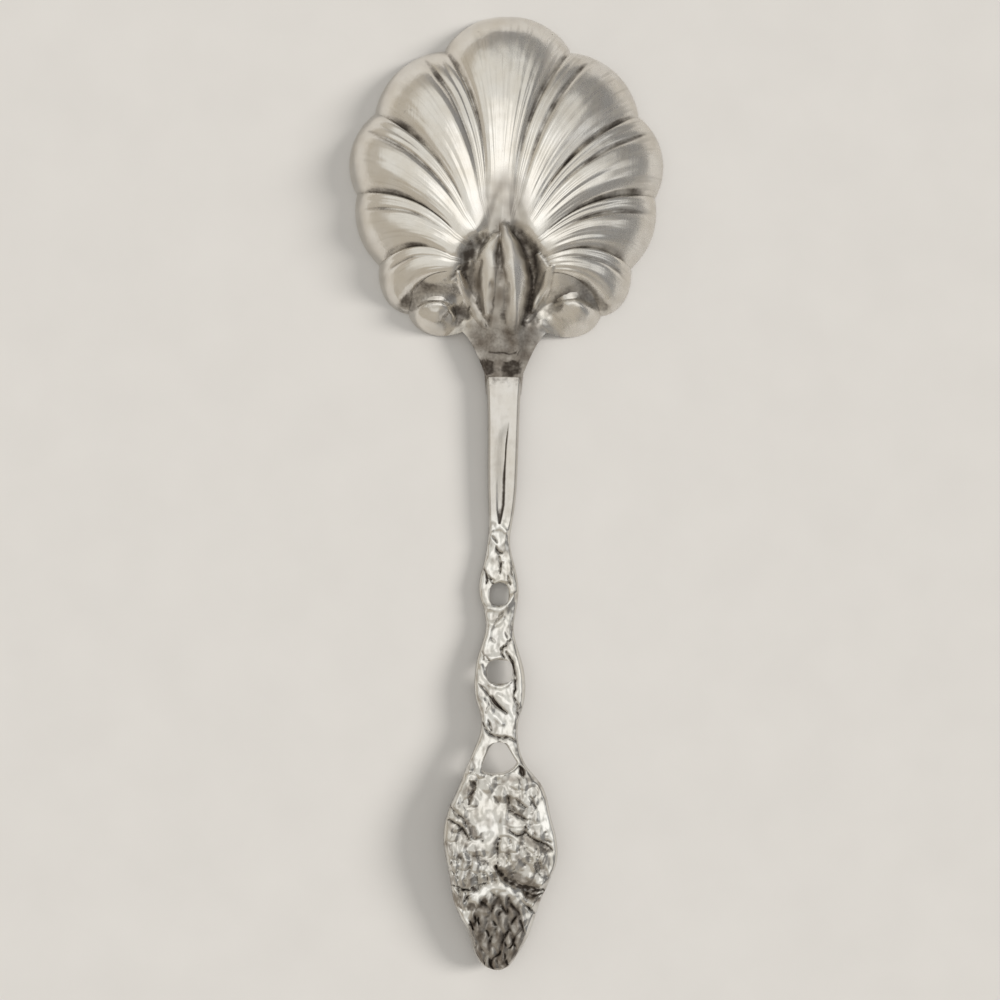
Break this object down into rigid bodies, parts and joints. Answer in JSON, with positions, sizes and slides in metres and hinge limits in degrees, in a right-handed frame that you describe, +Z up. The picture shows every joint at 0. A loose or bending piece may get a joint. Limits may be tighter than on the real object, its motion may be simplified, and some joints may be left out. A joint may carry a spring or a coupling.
{
  "type": "serving spoon",
  "caption": "Silver serving spoon with a fluted shell bowl, a pierced leafy stem and a leaf-and-berry finial, lying mouth down.",
  "frame": {"origin": "middle of the overall length and width, on the plane the rim rests on", "axes": "+Y from the handle to the tip of the bowl, +Z up out of the bowl's back, +X to the right seen from above"},
  "size_m": [0.0754, 0.2278, 0.0152],
  "materials": {
    "bowl_silver": "polished silver with fine scratches and dark tarnish in the recesses",
    "handle_silver": "polished cast silver with dark tarnish in the recesses",
    "solder": "dull grey hard solder"
  },
  "bodies": {
    "root": {"bowl": "bowl_silver", "solder_seam": "solder", "handle": "handle_silver"}
  },
  "joints": []
}
